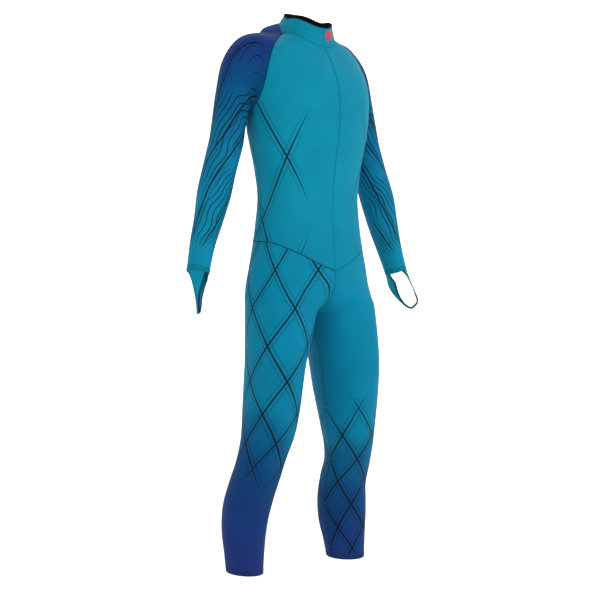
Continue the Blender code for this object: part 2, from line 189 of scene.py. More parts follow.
# The cloth, its seams and its hems.
CLOTH = 0.0012
SEAM_RISE = 0.00035
SEAM_WIDTH = 0.0026  # of the half on each piece
FINE_WIDTH = 0.0014
CORD_WIDTH = 0.0019
HEM_WIDTH = 0.013
BINDING_WIDTH = 0.0042
HEM_RISE = 0.0005
BINDING_RISE = 0.0006
RIM_RISE = 0.0003
TUCK = 0.00012  # how far a band's edge sinks into the cloth
EDGE_REACH = 14  # grid lines that a band may cross
TOUCH = 1e-6

# Soft creases, in millimetres: start, bend and end, out, back and up, then depth and width.
CREASES = {
    "front": [
        ((150, -50, 1330), (128, -85, 1322), (98, -104, 1300), 1.6, 11),
        ((153, -40, 1296), (130, -80, 1280), (112, -96, 1262), 1.1, 10),
        ((148, -72, 1378), (128, -90, 1362), (104, -106, 1350), 0.9, 9),
    ],
    "back": [
        ((150, 60, 1335), (124, 95, 1322), (90, 112, 1300), 1.5, 12),
        ((152, 50, 1292), (128, 80, 1268), (104, 96, 1252), 1.1, 10),
        ((20, 90, 1085), (62, 88, 1077), (108, 66, 1088), 1, 12),
        ((0, 94, 1052), (48, 94, 1044), (86, 80, 1050), 0.8, 10),
    ],
    "leg": [
        ((22, -102, 842), (70, -104, 868), (128, -82, 905), 1.6, 12),
        ((30, -98, 812), (68, -104, 832), (104, -100, 852), 1, 9),
        ((18, 86, 796), (66, 90, 784), (122, 70, 800), 1.7, 13),
        ((30, 84, 768), (70, 84, 756), (108, 74, 764), 1, 10),
        ((98, 58, 500), (132, 70, 490), (168, 56, 502), 1.7, 10),
        ((104, 66, 470), (140, 78, 462), (176, 62, 476), 1.4, 9),
        ((92, 46, 534), (118, 66, 526), (150, 66, 530), 1, 8),
        ((112, -50, 552), (140, -62, 546), (170, -48, 556), 0.9, 10),
        ((120, -46, 448), (146, -50, 440), (176, -36, 446), 0.8, 9),
        ((132, 90, 232), (160, 94, 226), (186, 78, 234), 0.9, 8),
    ],
    "sleeve": [
        ((172, 0, 1318), (186, -14, 1356), (176, -36, 1402), 1.5, 10),
        ((184, 4, 1284), (206, -6, 1316), (212, -14, 1360), 1.1, 9),
        ((176, 82, 1322), (190, 92, 1362), (178, 94, 1404), 1.4, 11),
        ((238, -6, 1124), (266, -14, 1116), (292, 0, 1122), 1.3, 9),
        ((244, -6, 1094), (270, -14, 1088), (296, -2, 1096), 1, 8),
        ((242, 4, 1152), (260, -8, 1146), (280, -2, 1150), 0.8, 8),
        ((294, -8, 962), (312, -10, 956), (328, 4, 960), 0.7, 6),
    ],
}

# Colours, as a screen shows them.
TEAL = (6, 139, 168)
SHADED_TEAL = (2, 123, 158)
BLUE = (2, 92, 135)
DEEP_BLUE = (6, 68, 118)
NAVY = (28, 50, 114)
INK = (12, 15, 21)
LINING = ((7, 7, 9), (20, 21, 25))  # its darker and its lighter flecks
CORAL = ((178, 50, 76), (202, 74, 98))

# The print's colour down the garment: height above the soles, and colour.
BODY_STOPS = [
    (0.20, NAVY),
    (0.33, (18, 57, 115)),
    (0.42, DEEP_BLUE),
    (0.51, BLUE),
    (0.60, SHADED_TEAL),
    (0.86, (2, 131, 165)),
    (1.10, TEAL),
]
SLEEVE_STOPS = [
    (0.92, (8, 136, 166)),
    (1.15, (4, 125, 164)),
    (1.26, (4, 110, 150)),
    (1.33, (2, 94, 139)),
    (1.40, (4, 73, 127)),
    (1.47, (20, 56, 123)),
]
BODY_TILT = 0.9  # how steeply the blue of the right leg falls towards its inner side
TILT_CENTRE = 0.150
TILT_LEAST = -0.080  # sets how much lower the blue begins on the left leg
TILT_HEIGHTS = (0.70, 0.80)  # the tilt fades out between them

# The line pattern: diamonds on the legs and flanks, ripples on the sleeves.
PRINTS = ("lines_1", "lines_2", "yoke")  # the meshes' two sets of lines and the back's navy
LINE = 0.0021  # half of a line's width
LINE_SOFTNESS = 0.0005
# The faint lines beside each line, then the line: how dark, how far off and half the width.
STROKES = [(0.4464, 0.0095, 0.0012), (0.96, 0.0, LINE)]
LEG_DIAMONDS = 5  # round a leg
LEG_DIAMOND_ASPECT = 1.6
LEVELS = np.linspace(0.17, 1.02, 171)  # heights that the leg's pattern is worked out at
LEG_PRINTS = {
    # heights that the diamonds fade in between, from below and from above
    "left": (0.19, 0.22, 0.66, 0.52),
    "right": (0.37, 0.50, 1.20, 1.10),
}
HIP_LEAN = 0.6  # of the leg's lean, kept by the pattern's middle above the leg
LEG_SEAM_TURN = 0.45  # turns round the leg, past which its two edges are told apart
INNER_FADE = (0.43, 0.27)  # turns that the diamonds fade in between at the fork
LOWER_REACH = 0.15  # turns that they reach further in below it
LOWER_HEIGHTS = (0.80, 0.70)
FLANK_DIAMONDS = 6
FLANK_RADIUS = 0.130
FLANK_DIAMOND_HEIGHT = 0.300
FLANK_LINE = 0.9  # of a leg's line
FRONT_FADE = (28, 62)  # degrees round the trunk
BACK_FADE = (168, 130)
CHEST_FADE = (1.43, 1.30)  # heights
RIPPLES = 19  # fine ones round an arm
BOLD_RIPPLES = 5
FINE_RIPPLE = 0.0011
BOLD_RIPPLE = 0.0019
FINE_PITCH = 0.038  # how far down the arm a ripple takes the next one's place
BOLD_PITCH = 0.150
FINE_SWAY = [(0.55, 0.030, 1), (0.22, 0.014, -2)]  # waves: size, length down the arm, turns
BOLD_SWAY = [(0.16, 0.045, 1)]
PATCHES = [(1.0, 0.036, 2), (0.4, 0.021, -1)]
PATCH_FADE = (-1.25, -0.35)
CAP_FADE = (0.004, 0.05)  # down from the raglan seam
CUFF_FADE = (0.03, 0.10)  # up from the cuff
UNDERARM_FADE = (0.0, 0.35)

# The threads: how much ink darkens them, and their stitches' pitch.
BODY_THREAD = (0.12, 0.0019)
SLEEVE_THREAD = (0.14, 0.0019)
DARK_THREAD = (0.76, 0.0016)
STITCH_GAP_SHADE = 0.16  # painted shade, darker still, between the stitches

YOKE_WIDTH = 0.046  # of the navy on the back, between each sleeve and the collar
YOKE_EDGE = 0.0006

# The studio and the camera.
PAPER = (244, 244, 243)
PAPER_BEND = 1.2  # radius of the curve from the floor to the wall
PAPER_NEAR = -6.0
PAPER_FAR = 4.5
PAPER_TOP = 6.0
PAPER_HALF_WIDTH = 7.0
BEND_STEPS = 12
CAMERA_PLACE = (-2.378, -2.834, 0.94 - SHOULDER_HEIGHT)
CAMERA_TURN = 40.0
PHOTO_WIDTH = 600
FOCAL_LENGTH = 1487  # in the photo's pixels, like the two shifts
SHIFT_ACROSS = -7
SHIFT_UP = -35
WORLD_LIGHT = 0.64
KEY_POWER = 82.0
FILL_POWER = 35.0
BACKDROP_POWER = 160.0


# Reading the tables


def at(table, position):
    """A table's other columns at a place in its first one, on a smooth curve through its rows."""
    if table[0, 0] > table[-1, 0]:
        table = table[::-1]
    keys = table[:, 0]
    position = min(max(position, keys[0]), keys[-1])
    low = int(min(max(np.searchsorted(keys, position) - 1, 0), len(keys) - 2))
    span = keys[low + 1] - keys[low]
    share = (position - keys[low]) / span
    ends = table[low : low + 2, 1:]
    slopes = []
    for row in (low, low + 1):
        before, after = max(row - 1, 0), min(row + 1, len(keys) - 1)
        slopes.append((table[after, 1:] - table[before, 1:]) / (keys[after] - keys[before]))
    return hermite(ends[0], slopes[0] * span, ends[1], slopes[1] * span, share)


def hermite(start, start_slope, end, end_slope, share):
    """A cubic from start to end that leaves and arrives with the given slopes."""
    square, cube = share**2, share**3
    return (
        (2 * cube - 3 * square + 1) * start
        + (cube - 2 * square + share) * start_slope
        + (3 * square - 2 * cube) * end
        + (cube - square) * end_slope
    )


def through(rows, places, share_of):
    """Rows of points at the given places, on smooth curves through the key rows."""
    table = np.array([[place, *np.ravel(row)] for place, row in zip(places, rows)])
    return [at(table, place).reshape(-1, 3) for place in share_of]


# The garment's outer face


def rounded(angle, squareness):
    """Sine and cosine of an angle in degrees, swollen to a squareness."""
    turn = math.radians(angle)
    parts = math.sin(turn), math.cos(turn)
    return [math.copysign(abs(part) ** (2 / squareness), part) for part in parts]


def ring_point(angle, heights, ridge, half_width, depths, squareness):
    """A point of a ring round the trunk or the neck, at an angle from its centre front."""
    half = 0 if angle < 90 else 1
    sine, cosine = rounded(angle, squareness[half])
    turn = math.radians(angle)
    front, side, back = heights
    height = side + ((front, back)[half] - side) * math.cos(turn) ** 2
    height += half * ridge * math.sin(2 * turn) ** 2
    return (half_width * sine, -depths[half] * cosine, height)


def trunk_point(angle, height):
    front_rise, back_rise, ridge, half_width, *depths, back_squareness = at(TRUNK, height)
    heights = (height + front_rise, height, height + back_rise)
    squareness = (FRONT_SQUARENESS, back_squareness)
    return ring_point(angle, heights, ridge, half_width, depths, squareness)


def collar_point(angle, share):
    *heights, ridge, half_width, front_depth, back_depth = at(COLLAR, share)
    squareness = (FRONT_SQUARENESS, TRUNK[-1, -1])
    return ring_point(angle, heights, ridge, half_width, (front_depth, back_depth), squareness)


def waist_height(angle):
    """The seam between trunk and legs: a shallow point at the front, level behind."""
    if angle < 90:
        return WAIST_SIDE - WAIST_FRONT_DROP * (1 - math.sin(math.radians(angle)))
    return WAIST_SIDE


def limb_frame(table, height):
    """A limb's centre at a height, and its directions down, outwards and forwards there."""
    step = 0.01
    centre = np.array([*at(table, height)[:2], height])
    above = np.array([*at(table, height + step)[:2], height + step])
    below = np.array([*at(table, height - step)[:2], height - step])
    if height + step > table[0, 0]:
        above = centre
    if height - step < table[-1, 0]:
        below = centre
    down = (below - above) / np.linalg.norm(below - above)
    outward = np.array([1.0, 0.0, 0.0]) - down * down[0]
    outward /= np.linalg.norm(outward)
    forward = np.cross(down, outward)
    forward *= -math.copysign(1, forward[1])
    return centre, down, outward, forward


def limb_ring(table, height, angles, long_angle):
    """Points round a limb, square to its centre line, from its outer side past its front."""
    centre, _, outward, forward = limb_frame(table, height)
    half_long, half_short = at(table, height)[2:4]
    around = np.radians(angles)
    turned = around - math.radians(long_angle)
    radius = 1 / np.hypot(np.cos(turned) / half_long, np.sin(turned) / half_short)
    across = np.outer(np.cos(around), outward) + np.outer(np.sin(around), forward)
    return centre + radius[:, None] * across


# The grids, of the left half


def raglan_rows():
    """The raglan seam's side heights and two angles, from the underarm to the neck."""
    table = np.column_stack([np.linspace(0, 1, len(RAGLAN)), RAGLAN])
    return [at(table, share) for share in np.linspace(0, 1, ROWS_RAGLAN + 1)]


def trunk_grid(middle, column):
    """From the middle front or back to the side seam and the raglan seam, waist to collar."""
    rows = []
    for rise in np.linspace(0, 1, ROWS_SIDE + 1)[:-1]:
        edge = 90 + (RAGLAN[0, column] - 90) * rise
        rows.append(trunk_row(middle + (edge - middle) * crowded(rise), rise))
    for place in raglan_rows():
        angles = np.linspace(middle, place[column], COLUMNS + 1)
        rows.append([trunk_point(angle, place[0]) for angle in angles])
    return np.array(rows)


def crowded(rise):
    """Shares from 0 to 1, drawn towards 0 at the waist seam and even at the underarm."""
    return np.linspace(0, 1, COLUMNS + 1) ** (SEAM_CROWDING + (1 - SEAM_CROWDING) * rise)


def trunk_row(angles, rise):
    """A row of trunk points, at a share of the way from the waist seam to the underarm."""
    points = []
    for angle in angles:
        low = waist_height(angle)
        points.append(trunk_point(angle, low + (RAGLAN[0, 0] - low) * rise))
    return points


def leg_grid():
    """From the waist seam to the ankle, round from the centre front to the centre back."""
    front = 90 * crowded(0)
    angles = [*front, *(180 - front[-2::-1])]
    around = np.linspace(180, -180, len(angles))  # from the inseam past the front
    long_angle = 90 - LEG_TURN
    rows = []
    for row in range(ROWS_HIP):
        sink = row / ROWS_HIP
        heights = [low + (HIP_HEIGHT - low) * sink for low in map(waist_height, angles)]
        rows.append([trunk_point(*place) for place in zip(angles, heights)])

    def trunk_ring(height):
        return np.array([trunk_point(angle, height) for angle in angles])

    def leg_ring(height):
        points = limb_ring(LEG, height, around, long_angle)
        sunk = max(HEM_TILT_START - height, 0) / (HEM_TILT_START - LEG[-1, 0])
        points[:, 2] += HEM_TILT * sunk**2 * (points[:, 1] - at(LEG, height)[1])
        return points

    top, second, third = LEG[:3, 0]
    fork = leg_ring(top)
    fork[0, 0] = fork[-1, 0] = 0.0
    middle = (HIP_HEIGHT + top) / 2
    divided = (1 - FORK_SHARE) * trunk_ring(middle) + FORK_SHARE * fork
    from_inseam = np.sin(np.radians(np.abs(around)) / 2) ** 2
    divided[:, 2] += (middle - divided[:, 2]) * (1 - from_inseam**2)
    keys = [trunk_ring(HIP_HEIGHT + 0.045), trunk_ring(HIP_HEIGHT), divided, fork]
    keys += [leg_ring(second), leg_ring(third)]
    places = [-0.8, 0.0, 0.5, 1.0, 1.8, 2.8]
    shares = [*np.linspace(0, 1, ROWS_FORK + 1), *np.linspace(1, 1.8, ROWS_CROTCH + 1)[1:-1]]
    for points in through(keys, places, shares):
        points[:, 0] = np.maximum(points[:, 0], 0.0)
        rows.append(points)
    for height in np.linspace(second, LEG[-1, 0], ROWS_LEG + 1):
        rows.append(leg_ring(height))
    return np.array(rows)


def beside_raglan(lead):
    """Points a number of degrees in from the raglan seam, up its front and down its back."""
    front = [trunk_point(angle - lead, height) for height, angle, _ in raglan_rows()]
    back = [trunk_point(angle + lead, height) for height, _, angle in raglan_rows()]
    return np.array(front + back[-2::-1])


def cap_oval(inner_out, inner_height, outer_out, outer_height, back, half_depth, around):
    """An oval round the shoulder, from its inner low end past the front to its outer high end."""
    turn = np.radians(around)
    share = 0.5 - 0.5 * np.cos(turn)
    out = outer_out + (inner_out - outer_out) * share
    height = outer_height + (inner_height - outer_height) * share
    return np.column_stack([out, back - half_depth * np.sin(turn), height])


def sleeve_grid():
    """From the raglan seam to the cuff, round from the underarm past the front."""
    seam = beside_raglan(0.0)
    around = np.linspace(180, -180, len(seam))
    top, second = ARM[0, 0], ARM[1, 0]
    keys = [beside_raglan(CAP_LEAD), seam]
    keys += [cap_oval(*row[1:], around) for row in CAP]
    keys += [limb_ring(ARM, height, around, THUMB_ANGLE) for height in (top, second)]
    places = [-0.12, 0.0, *CAP[:, 0], 1.0, 1.25]
    rows = through(keys, places, np.linspace(0, 1, ROWS_CAP + 1)[:-1])
    for height in np.linspace(top, ARM[-1, 0], ROWS_ARM + 1):
        rows.append(limb_ring(ARM, height, around, THUMB_ANGLE))
    return np.array(rows)


def loop_grid():
    """The hand loop, from the back of the wrist down, across and up to its inner side."""
    centre, down, outward, forward = limb_frame(ARM, ARM[-1, 0])
    half_thumb = ARM[-1, 3]
    thumb = math.radians(THUMB_ANGLE)
    to_thumb = math.cos(thumb) * outward + math.sin(thumb) * forward
    to_back = math.sin(thumb) * outward - math.cos(thumb) * forward
    rows = []
    for share in np.linspace(0, 1, ROWS_LOOP + 1):
        across, drop, thumb_edge, far_edge, wrap = at(LOOP, share)
        run = at(LOOP, share + 0.01)[:2] - at(LOOP, share - 0.01)[:2]
        run /= np.linalg.norm(run)
        outside = run[1] * to_back - run[0] * down
        twist = math.radians(LOOP_TWIST) * smooth(0.28, 0.50, share) * smooth(1.0, 0.66, share)
        middle = (thumb_edge + far_edge) / 2
        row = []
        for wide in np.linspace(thumb_edge, far_edge, COLUMNS_LOOP + 1):
            bend = math.sqrt(1 - (wrap * wide / half_thumb) ** 2)
            aside = wide - middle
            flat = to_thumb * (middle + aside * math.cos(twist)) + to_back * across * bend
            row.append(centre + down * drop + flat - outside * aside * math.sin(twist))
        rows.append(row)
    return np.array(rows)


def patch_grid():
    """The patch, as a square of cells rounded off at its corners."""
    steps = np.linspace(-1, 1, CELLS_PATCH + 1)
    grid = []
    for up in steps:
        row = []
        for along in steps:
            angle = PATCH_ANGLE + PATCH_HALF_ANGLE * along * math.sqrt(1 - up**2 / 2)
            share = PATCH_SHARE + PATCH_HALF_SHARE * up * math.sqrt(1 - along**2 / 2)
            row.append(collar_point(angle, share))
        grid.append(row)
    return np.array(grid)


def collar_grid():
    """Half of the collar, from the centre front to the centre back, seam to rim."""
    neck = RAGLAN[-1, 1]
    angles = [*np.linspace(0, neck, COLUMNS + 1), *np.linspace(neck, 180, COLUMNS + 1)[1:]]
    shares = np.linspace(0, 1, ROWS_COLLAR + 1)
    return np.array([[collar_point(angle, share) for angle in angles] for share in shares])


def mirrored(values):
    """A left half's values joined to the same ones in reverse, across their last column."""
    return np.concatenate([values, values[:, -2::-1]], axis=1)


def both_halves(grid):
    """A left half's grid joined to its mirror image across its last column."""
    whole = mirrored(grid)
    whole[:, grid.shape[1] :, 0] *= -1
    return whole


# Working on a grid


def face_normals(grid):
    """Unit normals of a grid, the same where a sheet meets itself or its mirror image."""
    down_rows = np.gradient(grid, axis=0, edge_order=2)
    along_columns = np.gradient(grid, axis=1, edge_order=2)
    normals = np.cross(along_columns, down_rows)
    closed = np.linalg.norm(grid[:, 0] - grid[:, -1], axis=1) < TOUCH
    shared = normals[:, 0] + normals[:, -1]
    for column in (0, -1):
        edge = normals[:, column]
        edge[closed] = shared[closed]
        edge[np.abs(grid[:, column, 0]) < TOUCH, 0] = 0.0
    return normals / np.linalg.norm(normals, axis=2, keepdims=True)


def creased(grid, normals, creases):
    """The grid with soft troughs, each between two low ridges, along curves beside its face."""
    rise = np.zeros(grid.shape[:2])
    share = np.linspace(0, 1, 41)[:, None]
    for *curve, depth, width in creases:
        start, bend, end = np.array(curve) / MILLIMETRES
        path = (1 - share) ** 2 * start + 2 * share * (1 - share) * bend + share**2 * end
        gaps = np.linalg.norm(grid[:, :, None, :] - path, axis=3)
        along = gaps.argmin(axis=2) / (len(path) - 1)
        near = (gaps.min(axis=2) / (width / MILLIMETRES)) ** 2
        rise -= depth / MILLIMETRES * np.sqrt(np.sin(np.pi * along)) * (1 - near) * np.exp(-near)
    return grid + normals * rise[:, :, None]


def draped(grid, name, outwards=1):
    """The grid with its piece's creases, and the normals of its face."""
    normals = outwards * face_normals(grid)
    return creased(grid, normals, CREASES[name]), normals


def lengths(grid, axis):
    """How far along the cloth each point is from the grid's first row or column."""
    steps = np.linalg.norm(np.diff(grid, axis=axis), axis=2)
    start = np.zeros_like(np.take(steps, [0], axis))
    return np.cumsum(np.concatenate([start, steps], axis), axis)


def smooth(low, high, values):
    """0 below low, 1 above high, and an easy rise between."""
    share = np.clip((values - low) / (high - low), 0, 1)
    return share * share * (3 - 2 * share)


# The printed lines: at each point a place, whole on a line, the lines' gap and half their width


def leg_lines(grid, low, low_full, high, high_full):
    """A lattice of diamonds that shrink as the leg does, between two heights of the leg."""
    height = grid[:, :, 2]
    centres = np.array([leg_centre(level) for level in LEVELS])
    middle_out, middle_back, girth = (np.interp(height, LEVELS, part) for part in centres.T)
    turn = np.arctan2(grid[:, :, 1] - middle_back, grid[:, :, 0] - middle_out) / (2 * math.pi)
    side = np.where(np.arange(grid.shape[1]) < grid.shape[1] / 2, -1, 1)
    turn = np.where(np.abs(turn) > LEG_SEAM_TURN, side * np.abs(turn), turn)
    cell = girth / LEG_DIAMONDS
    steps = -np.diff(LEVELS) * LEG_DIAMONDS / (centres[1:, 2] * LEG_DIAMOND_ASPECT)
    fallen = np.concatenate([[0.0], np.cumsum(steps)])
    fall = np.interp(height, LEVELS, fallen)
    gap = cell / math.hypot(1, 1 / LEG_DIAMOND_ASPECT)
    reach = LOWER_REACH * smooth(*LOWER_HEIGHTS, height)
    inner = smooth(*INNER_FADE, np.abs(turn + 0.02) - reach)
    half = LINE * inner * smooth(low, low_full, height) * smooth(high, high_full, height)
    around = LEG_DIAMONDS * turn
    return (around + fall, gap, half), (around - fall, gap, half)


def leg_centre(height):
    """The leg's middle, out and back, and its girth, carried on above the leg into the hip."""
    top, second = LEG[0], LEG[1]
    if height > top[0]:
        share = (height - top[0]) / (top[0] - second[0])
        out = top[1] + (top[1] - second[1]) * share * HIP_LEAN
        return out, top[2], math.pi * (top[3] + top[4])
    out, back, half_depth, half_width = at(LEG, height)
    return out, back, math.pi * (half_depth + half_width)


def flank_lines(grid):
    """Long diamonds up the trunk's sides, left off its middle front and back."""
    girth = 2 * math.pi * FLANK_RADIUS
    turn = np.degrees(np.arctan2(grid[:, :, 0], -grid[:, :, 1]))
    across = FLANK_DIAMONDS * turn / 360
    up = grid[:, :, 2] / FLANK_DIAMOND_HEIGHT
    gap = 1 / np.hypot(FLANK_DIAMONDS / girth, 1 / FLANK_DIAMOND_HEIGHT) + 0 * turn
    side = smooth(*FRONT_FADE, turn) * smooth(*BACK_FADE, turn)
    half = FLANK_LINE * LINE * side * smooth(*CHEST_FADE, grid[:, :, 2])
    return (across + up, gap, half), (across - up, gap, half)


def sleeve_lines(grid):
    """Ripples that wind down the arm, fine ones that come and go between a few bold ones."""
    turn = np.linspace(math.pi, -math.pi, grid.shape[1])[None, :]
    down = lengths(grid, 0).mean(axis=1, keepdims=True)

    def waves(table):
        return sum(size * np.sin(down / length + turns * turn) for size, length, turns in table)

    fine = RIPPLES * turn / (2 * math.pi) + down / FINE_PITCH + waves(FINE_SWAY)
    bold = BOLD_RIPPLES * turn / (2 * math.pi) + down / BOLD_PITCH + waves(BOLD_SWAY)
    patches = smooth(*PATCH_FADE, waves(PATCHES))
    ends = smooth(*CAP_FADE, down) * smooth(*CUFF_FADE, down.max() - down)
    edge = smooth(*UNDERARM_FADE, math.pi - np.abs(turn))
    fine_line = (fine, line_gap(grid, fine), FINE_RIPPLE * patches * ends * edge)
    return fine_line, (bold, line_gap(grid, bold), BOLD_RIPPLE * ends * edge)


def line_gap(grid, place):
    """The distance between neighbouring lines, where each whole value of place is one."""
    across = np.gradient(place, axis=1) / np.linalg.norm(np.gradient(grid, axis=1), axis=2)
    along = np.gradient(place, axis=0) / np.linalg.norm(np.gradient(grid, axis=0), axis=2)
    return 1 / np.hypot(across, along)


def yoke(half_back):
    """How far inside the sleeves' navy a point of the half back is, beside the collar."""
    past_seam = half_back - half_back[:, :1]
    distance = np.linalg.norm(past_seam, axis=2)
    risen = np.clip((np.arange(len(half_back)) - ROWS_SIDE) / ROWS_RAGLAN, 0, 1)
    width = YOKE_WIDTH * smooth(0.50, 0.92, risen) - YOKE_EDGE
    return width[:, None] - distance


# Materials


def linear(colour):
    """A screen colour, 0 to 255, as the shader's own numbers."""
    shares = [part / 255 for part in colour]
    parts = [s / 12.92 if s <= 0.04045 else ((s + 0.055) / 1.055) ** 2.4 for s in shares]
    return (*parts, 1.0)


class Shader:
    """A material's nodes, each fed with numbers or with other nodes' outputs."""

    def __init__(self, name, roughness, gloss=0.5):
        self.material = bpy.data.materials.new(name)
        self.material.use_nodes = True
        self.tree = self.material.node_tree
        self.surface = self.tree.nodes["Principled BSDF"]
        self.surface.inputs["Roughness"].default_value = roughness
        self.surface.inputs["Specular IOR Level"].default_value = gloss

    def feed(self, socket, value):
        if isinstance(value, bpy.types.NodeSocket):
            self.tree.links.new(value, socket)
        else:
            socket.default_value = value

    def node(self, kind, feeds=(), **settings):
        made = self.tree.nodes.new(kind)
        for name, value in settings.items():
            setattr(made, name, value)
        for place, value in dict(feeds).items():
            self.feed(made.inputs[place], value)
        return made

    def math(self, operation, *values):
        made = self.node("ShaderNodeMath", enumerate(values), operation=operation)
        return made.outputs[0]

    def stretch(self, value, low, high, to_low=0.0, to_high=1.0, ease="SMOOTHSTEP"):
        """The value brought from one range to another, and held at its ends."""
        feeds = enumerate([value, low, high, to_low, to_high])
        return self.node("ShaderNodeMapRange", feeds, interpolation_type=ease).outputs[0]

    def mix(self, share, first, second, blend="MIX"):
        feeds = {0: share, 6: first, 7: second}
        made = self.node("ShaderNodeMix", feeds, data_type="RGBA", blend_type=blend)
        return made.outputs[2]

    def split(self, vector):
        return self.node("ShaderNodeSeparateXYZ", {0: vector}).outputs

    def attribute(self, name):
        return self.split(self.node("ShaderNodeAttribute", attribute_name=name).outputs["Vector"])

    def place(self):
        return self.node("ShaderNodeTexCoord").outputs["Object"]

    def on_cloth(self):
        return self.split(self.node("ShaderNodeUVMap", uv_map="cloth").outputs[0])

    def noise(self, scale, detail=2.0):
        feeds = {"Vector": self.place(), "Scale": scale, "Detail": detail}
        return self.node("ShaderNodeTexNoise", feeds).outputs["Fac"]

    def bump(self, height, distance, strength, under=None):
        feeds = {"Height": height, "Distance": distance, "Strength": strength}
        if under:
            feeds["Normal"] = under
        return self.node("ShaderNodeBump", feeds).outputs[0]

    def finish(self, colour, normal=None):
        self.feed(self.surface.inputs["Base Color"], colour)
        if normal:
            self.feed(self.surface.inputs["Normal"], normal)
        return self.material


def gradient(shader, stops, tilt):
    """The printed colour, by height above the soles, begun lower in from a leg's outer side."""
    place = shader.split(shader.place())
    right = shader.math("MULTIPLY", place[0], -1.0)
    aside = shader.math("MAXIMUM", shader.math("SUBTRACT", right, TILT_CENTRE), TILT_LEAST)
    height = shader.math("ADD", place[2], SHOULDER_HEIGHT)
    low = shader.stretch(height, *TILT_HEIGHTS, tilt, 0.0)
    height = shader.math("SUBTRACT", height, shader.math("MULTIPLY", aside, low))
    bottom, top = stops[0][0], stops[-1][0]
    share = shader.stretch(height, bottom, top, ease="LINEAR")
    ramp = shader.node("ShaderNodeValToRGB", {0: share})
    elements = ramp.color_ramp.elements
    ramp.color_ramp.interpolation = "EASE"
    while len(elements) < len(stops):
        elements.new(1.0)
    for element, (level, colour) in zip(elements, stops):
        element.position = (level - bottom) / (top - bottom)
        element.color = linear(colour)
    return ramp.outputs[0]


def line_share(shader, name, offset, half):
    """1 on the lines printed at an offset to both sides of each place, and 0 off them."""
    place, gap, width = shader.attribute(name)
    distance = shader.math("MULTIPLY", shader.math("PINGPONG", place, 0.5), gap)
    distance = shader.math("ABSOLUTE", shader.math("SUBTRACT", distance, offset))
    reach = shader.math("MULTIPLY", width, half / LINE)
    outside = shader.math("ADD", reach, LINE_SOFTNESS)
    inside = shader.math("SUBTRACT", reach, LINE_SOFTNESS)
    line = shader.stretch(distance, outside, inside)
    return shader.math("MULTIPLY", line, shader.stretch(width, 0.0001, 0.0005))


def knit(shader, wale, course):
    """Height of a fine knit: rows of loops, a wale wide and a course high, in metres."""
    cloth = shader.on_cloth()
    across = shader.math("MULTIPLY", cloth[0], 2 * math.pi / wale)
    along = shader.math("MULTIPLY", cloth[1], 2 * math.pi / course)
    lean = shader.math("MULTIPLY", shader.math("SINE", across), 0.9)
    loops = shader.math("SINE", shader.math("ADD", along, lean))
    ribs = shader.math("COSINE", across)
    return shader.math("ADD", shader.math("MULTIPLY", loops, 0.5), ribs)


def printed_cloth(name, stops, tilt):
    """Matt knitted stretch cloth, its colours and lines printed into it, with painted shade in
    the knit's valleys.
    """
    shader = Shader(name, roughness=0.56, gloss=0.05)
    surface = shader.surface
    surface.inputs["Sheen Weight"].default_value = 0.01
    surface.inputs["Sheen Roughness"].default_value = 0.45
    over_seam = shader.stretch(shader.attribute(PRINTS[2])[0], 0.0, YOKE_EDGE)
    navy = gradient(shader, SLEEVE_STOPS, 0.0)
    colour = shader.mix(over_seam, gradient(shader, stops, tilt), navy)
    for strength, offset, half in STROKES:
        lines = (line_share(shader, label, offset, half) for label in PRINTS[:2])
        line = shader.math("MULTIPLY", shader.math("MAXIMUM", *lines), strength)
        colour = shader.mix(line, colour, linear(INK))
    loops = knit(shader, 0.0010, 0.0008)
    worn = shader.stretch(shader.noise(14.0, 4.0), 0.30, 0.70, 0.94, 1.05)
    fleck = shader.stretch(shader.noise(1400.0, 1.0), 0.25, 0.75, 0.95, 1.04)
    # Painted shade: the knit's low loops darken the cloth's colour and its high loops lighten it.
    depth = shader.stretch(loops, -1.5, 1.5, 0.93, 1.04)
    shade = shader.math("MULTIPLY", shader.math("MULTIPLY", worn, fleck), depth)
    grey = shader.node("ShaderNodeCombineXYZ", {0: shade, 1: shade, 2: shade}).outputs[0]
    colour = shader.mix(1.0, colour, grey, "MULTIPLY")
    rough = shader.stretch(shader.noise(9.0), 0.3, 0.7, 0.52, 0.62)
    shader.feed(surface.inputs["Roughness"], rough)
    wavy = shader.bump(shader.noise(16.0, 1.5), 0.0022, 0.35)
    return shader.finish(colour, shader.bump(loops, 0.00016, 0.55, wavy))


def lining():
    """The cloth's dark unprinted inner face, brushed soft."""
    shader = Shader("lining", roughness=0.85, gloss=0.1)
    shader.surface.inputs["Sheen Weight"].default_value = 0.05
    nap = shader.noise(700.0, 3.0)
    colour = shader.mix(nap, *map(linear, LINING))
    loops = shader.bump(knit(shader, 0.0012, 0.0010), 0.0002, 0.5)
    return shader.finish(colour, shader.bump(nap, 0.0003, 0.4, loops))


def thread(name, stops, tilt, share, pitch):
    """A sewn seam: thread that crosses between two rows of stitches, over darkened cloth, with
    painted shade between the stitches.
    """
    shader = Shader(name, roughness=0.62, gloss=0.05)
    cloth = shader.on_cloth()
    slant = shader.math("MULTIPLY", cloth[0], 0.55)
    along = shader.math("MULTIPLY", shader.math("ADD", cloth[1], slant), 2 * math.pi / pitch)
    crossing = shader.math("SINE", along)
    base = gradient(shader, stops, tilt)
    dark = shader.mix(share, base, linear(INK))
    # Painted shade: the thread is darker where it dips between the stitches.
    darker = shader.mix(share + STITCH_GAP_SHADE, base, linear(INK))
    colour = shader.mix(shader.stretch(crossing, -0.7, 0.5), darker, dark)
    fuzz = shader.bump(shader.noise(2600.0, 1.0), 0.0001, 0.3)
    return shader.finish(colour, shader.bump(crossing, 0.0003, 0.7, fuzz))


def rubber():
    """The patch's moulded rubber, matt and a little mottled."""
    shader = Shader("patch_rubber", roughness=0.48, gloss=0.25)
    mottle = shader.noise(420.0, 3.0)
    colour = shader.mix(mottle, *map(linear, CORAL))
    return shader.finish(colour, shader.bump(mottle, 0.0001, 0.35))


